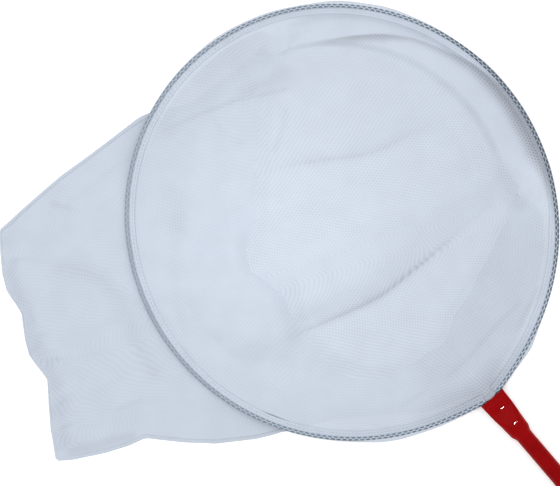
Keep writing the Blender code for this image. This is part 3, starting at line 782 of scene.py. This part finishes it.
def make_hem(stretched, plain):
    """The hem's sleeve: stretched mesh over the wire, plain mesh on its flat band and its flap."""
    angles = np.linspace(HEM_START, 2 * np.pi - HEM_START, HEM_STEPS + 1)
    turns = turn_from_far_side(angles)
    margins = waves(angles, ((0.15, 9, 0), (0.1, 23, 1)), level=0.75) * look_up(HEM_MARGIN, turns)
    sections = []
    for angle, margin, band in zip(angles, margins, hem_band(angles)):
        out, up = hem_section(margin, band)
        places = hoop_points(np.full(len(out), angle), out)
        sections.append(np.column_stack([places, AXIS_HEIGHT + up]))
    sections = np.array(sections)
    out, up = hem_section(0.0, HEM_BAND)
    loop = np.column_stack([np.append(out, out[0]), np.append(up, up[0])])
    around = np.concatenate([[0], np.cumsum(lengths(np.diff(loop, axis=0)))])
    # The wire's top lies midway between two rows of holes
    across = around - around[np.argmax(up)] + 0.5 * ROW_STEP * HEM_PITCH[1]
    hem = sweep_object("hem_sleeve", sections, stretched, across, strips=6)
    hem.data.materials.append(plain)
    column = np.arange(len(out))
    on_wire = (column > BAND_POINTS + 1) & (column < len(out) - BAND_POINTS - 2)
    degrees = ROUND[np.clip(column - BAND_POINTS, 0, ROUND_POINTS - 1)]
    on_plain = ~on_wire | (np.abs(degrees + FLAP_DROP) < FLAP_HALF)
    hem.data.polygons.foreach_set("material_index", np.tile(on_plain, HEM_STEPS).astype(np.int32))
    add_attribute(hem, TIGHTNESS, np.repeat(look_up(HEM_TIGHT, turns), len(out)))
    # Painted shade on the mesh over the wire at the far turns
    dark = np.where(on_wire, look_up(HEM_PAINTED_SHADE, turns)[:, None], 0)
    add_attribute(hem, SHADE_ATTRIBUTE, np.maximum(painted_shade_amount(sections), dark))
    return hem


# Hem thread and seams

STITCH_LENGTH, STITCH_INSET, STITCH_POINTS = 0.004, 0.002, 10
STITCH_RISE, STITCH_SQUARE, STITCH_LIFT = 0.0005, 2.2, 0.0001
THREAD_RADIUS, THREAD_SIDES, THREAD_START = 0.0003, 5, HEM_START * 1.5
SEAM_HALF_WIDTH, SEAM_FLATNESS, SEAM_SIDES, SEAM_LIFT = 0.0017, 0.25, 12, 0.0002


def make_hem_thread(finish):
    """A row of running stitches along the band: each dips through the cloth and comes up again."""
    around = 2 * np.pi * (HALF_LENGTH + HALF_WIDTH) / 2
    stitches = int(around / STITCH_LENGTH)
    angles = np.linspace(THREAD_START, 2 * np.pi - THREAD_START, stitches * STITCH_POINTS + 1)
    inset = HEM_RADIUS + hem_band(angles) - STITCH_INSET
    wave = np.sin(np.linspace(0, 2 * np.pi * stitches, len(angles)))
    band = AXIS_HEIGHT - BAND_DROP + BAND_SLOPE * (HEM_RADIUS - inset)
    height = band + STITCH_RISE * np.clip(STITCH_SQUARE * wave, -1, 1) + STITCH_LIFT
    path = np.column_stack([hoop_points(angles, -inset), height])
    sections = tube_sections(path, THREAD_RADIUS, THREAD_SIDES)
    return sweep_object("hem_stitches", sections, finish, strips=16)


def make_seam(name, path, finish):
    path = path + np.array([0, 0, SEAM_LIFT])
    sections = tube_sections(path, SEAM_HALF_WIDTH, SEAM_SIDES, SEAM_FLATNESS)
    return sweep_object(name, sections, finish, strips=2)


# Socket ferrule: flattened at its mouth, round and tapered where it holds the tube

FERRULE_MOUTH_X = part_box("socket_ferrule")[0].x
FERRULE_WIDTHS = ((0.0, 0.026), (0.016, 0.0246), (0.028, 0.0222), (0.039, 0.0206))
FERRULE_FLAT, FERRULE_ROUND, FERRULE_END = 0.014, 0.032, 0.047
FERRULE_TAPER = 0.0075
FERRULE_SIDES, FERRULE_RINGS = 144, 220
FLAT_HALF_HEIGHT, ROUND_HALF_HEIGHT = 0.0035, 0.0095
FLAT_SQUARE, LESS_SQUARE = 5, 3
TUBE_RADIUS, TUBE_GAP = 0.008, 0.0001
# The rim at its mouth and the groove behind it: height, place and breadth
RIM, RIM_GROOVE = (0.0005, 0.0012, 0.0009), (0.0004, 0.0042, 0.0007)
LUMP_HEIGHT = 0.00012
# What shows inside its mouth, from the deepest ring out
MOUTH_WALL, MOUTH_DEPTHS = 0.0012, np.linspace(0.008, 0.0004, 8)
# The crimps: place and depth, then their middle, half width and slopes
CRIMPS = ((0.0128, 0.001), (0.0297, 0.001))
CRIMP_MIDDLE, CRIMP_HALF_WIDTH = 0.0012, 0.0026
CRIMP_BEFORE, CRIMP_AFTER, CRIMP_BESIDE = 0.35, 0.952, 1.3


def ferrule_height(distance):
    """How far the ferrule has gone from flat, 0, to round, 1, and its half height there."""
    share = ramp(distance, FERRULE_FLAT, FERRULE_ROUND - FERRULE_FLAT)
    return share, FLAT_HALF_HEIGHT + (ROUND_HALF_HEIGHT - FLAT_HALF_HEIGHT) * share


def ridge(distance, height, place, breadth):
    return height * math.exp(-((distance - place) / breadth) ** 2)


def ferrule_ring(distance, inset=0.0):
    """Points round the ferrule at a distance behind its mouth."""
    wide = look_up(FERRULE_WIDTHS, distance) / 2
    share, high = ferrule_height(distance)
    taper = smooth_step((distance - FERRULE_END + FERRULE_TAPER) / FERRULE_TAPER)
    edge = TUBE_RADIUS + TUBE_GAP
    wide, high = wide + (edge - wide) * taper - inset, high + (edge - high) * taper - inset
    square = FLAT_SQUARE - LESS_SQUARE * share
    a = np.linspace(0, 2 * np.pi, FERRULE_SIDES, endpoint=False)
    c, s = np.cos(a), np.sin(a)
    reach = (np.abs(c) ** square + np.abs(s) ** square) ** (-1 / square)
    y = wide * c * reach
    z = high * s * reach
    if not inset:
        places = np.stack([np.full(FERRULE_SIDES, distance), y], -1)
        lumps = LUMP_HEIGHT * lattice_noise(places, scale=0.014, seed=3)
        relief = ridge(distance, *RIM) - ridge(distance, *RIM_GROOVE) + lumps
        z = z + np.sign(s) * np.abs(s) ** 0.5 * relief
        for place, depth in CRIMPS:
            behind = distance - place
            slope = max(-behind * CRIMP_BEFORE, behind * CRIMP_AFTER)
            aside = np.maximum(np.abs(y - CRIMP_MIDDLE) - CRIMP_HALF_WIDTH, 0)
            groove = ferrule_height(place)[1] - depth + slope + CRIMP_BESIDE * aside
            z = np.clip(z, -groove, groove)
    return np.column_stack([np.full(FERRULE_SIDES, FERRULE_MOUTH_X + distance), y, AXIS_HEIGHT + z])


def make_ferrule(finish):
    inside = [ferrule_ring(x, MOUTH_WALL) for x in MOUTH_DEPTHS]
    outside = [ferrule_ring(x) for x in np.linspace(0.0, FERRULE_END, FERRULE_RINGS)]
    return sweep_object("painted_ferrule", np.array(inside + outside), finish)


# Materials

# What yarn and holes keep of their colour under full painted shade, and what tight mesh covers
SHADED_YARN, SHADED_HOLES, TIGHT_COVER = 0.62, 0.6, 0.5
# The knit: its pitch, its holes and their soft edges in pitches, and its mottled yarn
PITCH = (0.003, 0.003)
HOLE, HOLE_EDGE, MOTTLE = 0.24, 0.07, 0.965
# One white nylon in three tones: the far panel's a little darker, as painted shade, and the band's
# a little lighter, as painted light against the shade along the hem
FAR_SHADED_COLOUR = (0.488, 0.538, 0.62)
NEAR_COLOUR = (0.501, 0.553, 0.638)
BAND_LIT_COLOUR = (0.53, 0.586, 0.676)
HEM_COLOUR = (0.51, 0.596, 0.71)
# Whole periods that keep every place of the knit above 0
KNIT_SHIFT = 200
# Between what values of a noise colour and gloss change
COLOUR_STOPS, GLOSS_STOPS = (0.35, 0.65), (0.3, 0.7)
GRAIN_DEPTH = 0.0002


class Finish:
    """A material, and the nodes that are made for it."""

    def __init__(self, name):
        self.made = bpy.data.materials.new(name)
        self.made.use_nodes = True
        self.tree = self.made.node_tree

    def feed(self, node, *values, **inputs):
        """Sets or links a node's first inputs, and named ones, with underscores for spaces."""
        named = {name.replace("_", " "): value for name, value in inputs.items()}
        for key, value in (dict(enumerate(values)) | named).items():
            if isinstance(value, bpy.types.NodeSocket):
                self.tree.links.new(value, node.inputs[key])
            else:
                node.inputs[key].default_value = value

    def node(self, kind, *values, operation=None, **inputs):
        node = self.tree.nodes.new(kind)
        if operation:
            node.operation = operation
        self.feed(node, *values, **inputs)
        return node

    def vector(self, operation, *values, output="Vector"):
        return self.node("ShaderNodeVectorMath", *values, operation=operation).outputs[output]

    def number(self, operation, *values):
        return self.node("ShaderNodeMath", *values, operation=operation).outputs["Value"]

    def attribute(self, name):
        node = self.node("ShaderNodeAttribute")
        node.attribute_name = name
        return node.outputs["Fac"]

    def noise(self, scale, detail=2.0):
        """Noise over the object in metres: scale is in waves per metre."""
        place = self.node("ShaderNodeTexCoord").outputs["Object"]
        node = self.node("ShaderNodeTexNoise", Vector=place, Scale=scale, Detail=detail)
        return node.outputs["Fac"]

    def between(self, value, low, high, to_low, to_high):
        """A value from low to high, taken smoothly to another low and high."""
        node = self.node("ShaderNodeMapRange", value, low, high, to_low, to_high)
        node.interpolation_type = "SMOOTHSTEP"
        return node.outputs["Result"]

    def colour(self, noise, dark, light):
        node = self.node("ShaderNodeValToRGB", noise)
        for stop, position, shown in zip(node.color_ramp.elements, COLOUR_STOPS, (dark, light)):
            stop.position = position
            stop.color = (*shown, 1)
        return node.outputs["Color"]

    def bump(self, height, strength, distance, **normal):
        inputs = dict(Height=height, Strength=strength, Distance=distance, **normal)
        return self.node("ShaderNodeBump", **inputs).outputs["Normal"]

    def hole_distance(self, pitch):
        """Distance from the middle of the nearest hole, in pitches: the holes are staggered."""
        place = self.node("ShaderNodeUVMap")
        place.uv_map = "cloth"
        scaled = self.vector("MULTIPLY", place.outputs["UV"], (1 / pitch[0], 1 / pitch[1], 0))
        distances = []
        for shift in (KNIT_SHIFT, KNIT_SHIFT + 0.5):
            moved = self.vector("ADD", scaled, (shift, shift * 2 * ROW_STEP, 0))
            wrapped = self.vector("MODULO", moved, (1, 2 * ROW_STEP, 1))
            centred = self.vector("SUBTRACT", wrapped, (0.5, ROW_STEP, 0))
            distances.append(self.vector("LENGTH", centred, output="Value"))
        return self.number("MINIMUM", *distances)

    def done(self, **inputs):
        self.feed(self.tree.nodes["Principled BSDF"], **inputs)
        return self.made


def mesh_material(
    name, colour, haze, cover, pitch=PITCH, hole=HOLE, hole_shade=1.0, painted_shade=True, tight=False,
):
    """Knitted nylon: hole is the radius of its holes in pitches.

    haze is what fine fluff covers of the holes, and cover what the yarn covers between them.
    hole_shade is how much darker the holes are than the yarn, as painted shade for what lies under
    them.
    painted_shade cloth takes painted shade on its yarn and holes from its attribute, and tight
    cloth is even where it is pulled tight.
    """
    made = Finish(name)
    distance = made.hole_distance(pitch)
    edges = (hole - HOLE_EDGE, hole + HOLE_EDGE)
    alpha = made.between(distance, *edges, haze, cover)
    if tight:
        tightness = made.attribute(TIGHTNESS)
        even = made.node("ShaderNodeMix", Factor=tightness, A=alpha, B=TIGHT_COVER)
        alpha = even.outputs["Result"]
    yarn = made.colour(made.noise(45), tuple(c * MOTTLE for c in colour), colour)
    # Painted shade: the attribute darkens the yarn, and its holes more
    if painted_shade:
        amount = made.attribute(SHADE_ATTRIBUTE)
        kept = made.between(amount, 0, 1, 1, SHADED_YARN)
        deepest = made.between(amount, 0, 1, hole_shade, SHADED_HOLES)
        hollow = made.number("POWER", deepest, made.between(distance, *edges, 1, 0))
        scale = made.number("MULTIPLY", kept, hollow)
        scaled = made.node("ShaderNodeVectorMath", yarn, operation="SCALE", Scale=scale)
        yarn = scaled.outputs["Vector"]
    return made.done(
        Base_Color=yarn, Alpha=alpha, Normal=made.bump(distance, 0.15, 0.0003), Roughness=0.5,
        Specular_IOR_Level=0.3, Sheen_Weight=0.5, Sheen_Roughness=0.4,
    )


def grained_material(name, grain, dark, light, relief, gloss, metallic=0.0):
    """A plain finish with a fine grain. gloss is its roughness, or the two ends of it."""
    made = Finish(name)
    noise = made.noise(*grain)
    return made.done(
        Base_Color=made.colour(noise, dark, light), Normal=made.bump(noise, relief, GRAIN_DEPTH),
        Roughness=made.between(noise, *GLOSS_STOPS, *gloss) if isinstance(gloss, tuple) else gloss,
        Metallic=metallic,
    )


def paint_material():
    """Thick red gloss paint with a faint orange peel and soft lumps."""
    made = Finish("red_paint")
    tint = made.noise(70, 4.0)
    colour = made.colour(tint, (0.194, 0.0012, 0.0018), (0.228, 0.0016, 0.0024))
    lumps = made.bump(made.noise(170), 0.06, 0.0008)
    peel = made.bump(made.noise(900), 0.03, 0.0003, Normal=lumps)
    gloss = made.between(tint, *GLOSS_STOPS, 0.05, 0.08)
    return made.done(Base_Color=colour, Normal=peel, Roughness=gloss, Specular_IOR_Level=0.03)


def floor_material():
    made = Finish("studio_floor")
    colour = made.colour(made.noise(3), (0.925, 0.925, 0.925), (0.935, 0.935, 0.935))
    return made.done(
        Base_Color=colour, Roughness=0.9, Emission_Color=(1, 1, 1, 1), Emission_Strength=FLOOR_GLOW,
    )


# Stage

FRAME_WIDTH = 0.5208
FRAME_CENTRE = (-0.0223, -0.0565)
FRAME_TURN = math.radians(49.55)
LENS = 85
WORLD_STRENGTH = 1.035
FLOOR_SIZE, FLOOR_GLOW = 12, 0.2
# Lamps: towards the picture's top, towards its right, height, size and power
GLINT = "glint"
LAMPS = (
    ("key", 0.35, -0.30, 1.60, 1.8, 10),
    (GLINT, 1.075, -0.747, 0.424, 0.11, 40),
)
HOT_SPOT = (-0.036, -0.06, 1.15)
HOT_SPOT_CONE = math.radians(16)
HOT_SPOT_POWER, HOT_SPOT_SIZE = 9, 0.1


def make_camera():
    data = bpy.data.cameras.new("camera")
    data.lens = LENS
    camera = new_object("camera", data)
    distance = FRAME_WIDTH * LENS / data.sensor_width
    camera.location = (*FRAME_CENTRE, AXIS_HEIGHT + distance)
    camera.rotation_euler = (0, 0, FRAME_TURN)
    bpy.context.scene.camera = camera


def make_stage():
    bpy.ops.mesh.primitive_plane_add(size=FLOOR_SIZE)
    floor = bpy.context.object
    floor.name = "studio_floor"
    floor.data.materials.append(floor_material())
    world = bpy.data.worlds.new("studio")
    world.use_nodes = True
    background = world.node_tree.nodes["Background"].inputs
    background["Color"].default_value = (1, 1, 1, 1)
    background["Strength"].default_value = WORLD_STRENGTH
    bpy.context.scene.world = world
    up = Vector((-math.sin(FRAME_TURN), math.cos(FRAME_TURN), 0))
    right = Vector((math.cos(FRAME_TURN), math.sin(FRAME_TURN), 0))
    for name, ahead, aside, height, size, power in LAMPS:
        data = bpy.data.lights.new(name, "AREA")
        data.size = size
        data.energy = power
        lamp = new_object(name, data)
        place = up * ahead + right * aside + Vector((0, 0, height))
        lamp.location = place + Vector((*FRAME_CENTRE, 0))
        lamp.rotation_euler = (-place).to_track_quat("-Z", "Y").to_euler()
        lamp.visible_diffuse = name != GLINT
    data = bpy.data.lights.new("overhead", "SPOT")
    data.energy = HOT_SPOT_POWER
    data.spot_size = HOT_SPOT_CONE
    data.spot_blend = 1.0
    data.shadow_soft_size = HOT_SPOT_SIZE
    new_object("overhead", data).location = HOT_SPOT


bpy.context.scene.view_settings.view_transform = "Standard"
make_camera()
make_stage()

far_net = mesh_material("lower_net_mesh", FAR_SHADED_COLOUR, haze=0.88, cover=0.97, hole_shade=0.92)
near_net = mesh_material("net_mesh", NEAR_COLOUR, haze=0.86, cover=0.92, hole_shade=0.98)
band_net = mesh_material("band_mesh", BAND_LIT_COLOUR, haze=0.84, cover=0.9)
hem_net = mesh_material(
    "hem_mesh", HEM_COLOUR, haze=0.05, cover=0.88, pitch=HEM_PITCH, hole=0.42, tight=True,
)
seam_net = mesh_material("seam_mesh", NEAR_COLOUR, haze=0.7, cover=0.85, hole=0.2, painted_shade=False)
white_thread = grained_material(
    "thread", (1500,), (0.43, 0.48, 0.56), (0.48, 0.53, 0.61), relief=0.5, gloss=0.6,
)
red = paint_material()

cloth = settled_bag()
bag = make_bag(cloth, far_net, near_net)
hem = make_hem(hem_net, band_net)
stitches = make_hem_thread(white_thread)
# The refined cloth has two rows and two columns for each one that was laid out
side_rows, right_column = slice(2 * RUN_START, None), 2 * FAR_COLUMNS
left_seam = make_seam("left_seam", cloth[side_rows, 0], seam_net)
right_seam = make_seam("right_seam", cloth[side_rows, right_column], seam_net)
closing_seam = make_seam("closing_seam", cloth[-1, :right_column + 1], seam_net)
ferrule = make_ferrule(red)
# The small lamp lights only the ferrule, where it leaves the two glints
glint_target = bpy.data.collections.new("glint_target")
glint_target.objects.link(ferrule)
bpy.data.objects[GLINT].light_linking.receiver_collection = glint_target

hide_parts("net_lower_panel", "net_upper_panel", "tail_lower_panel", "tail_upper_panel")
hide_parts("hem")
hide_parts("hem_thread")
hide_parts("throat_seam_left", "side_seam_left")
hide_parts("throat_seam_right", "side_seam_right")
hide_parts("bottom_seam")
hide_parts("socket_ferrule")
for piece in (bag, left_seam, right_seam):
    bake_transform(piece)
for piece in (hem, stitches, ferrule):
    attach(piece, "net_frame")
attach(closing_seam, "bag_tail")
wire = grained_material(
    "galvanised_wire", (350, 5.0), (0.030, 0.046, 0.066), (0.066, 0.094, 0.126), relief=0.15,
    gloss=(0.32, 0.5), metallic=0.6,
)
vinyl = grained_material(
    "black_vinyl", (1400, 3.0), (0.012, 0.012, 0.013), (0.022, 0.022, 0.024), relief=0.3,
    gloss=(0.5, 0.66),
)
for node, finish in (("hoop_wire", wire), ("handle_tube", red), ("end_cap", vinyl)):
    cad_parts[node].material_slots[0].material = finish
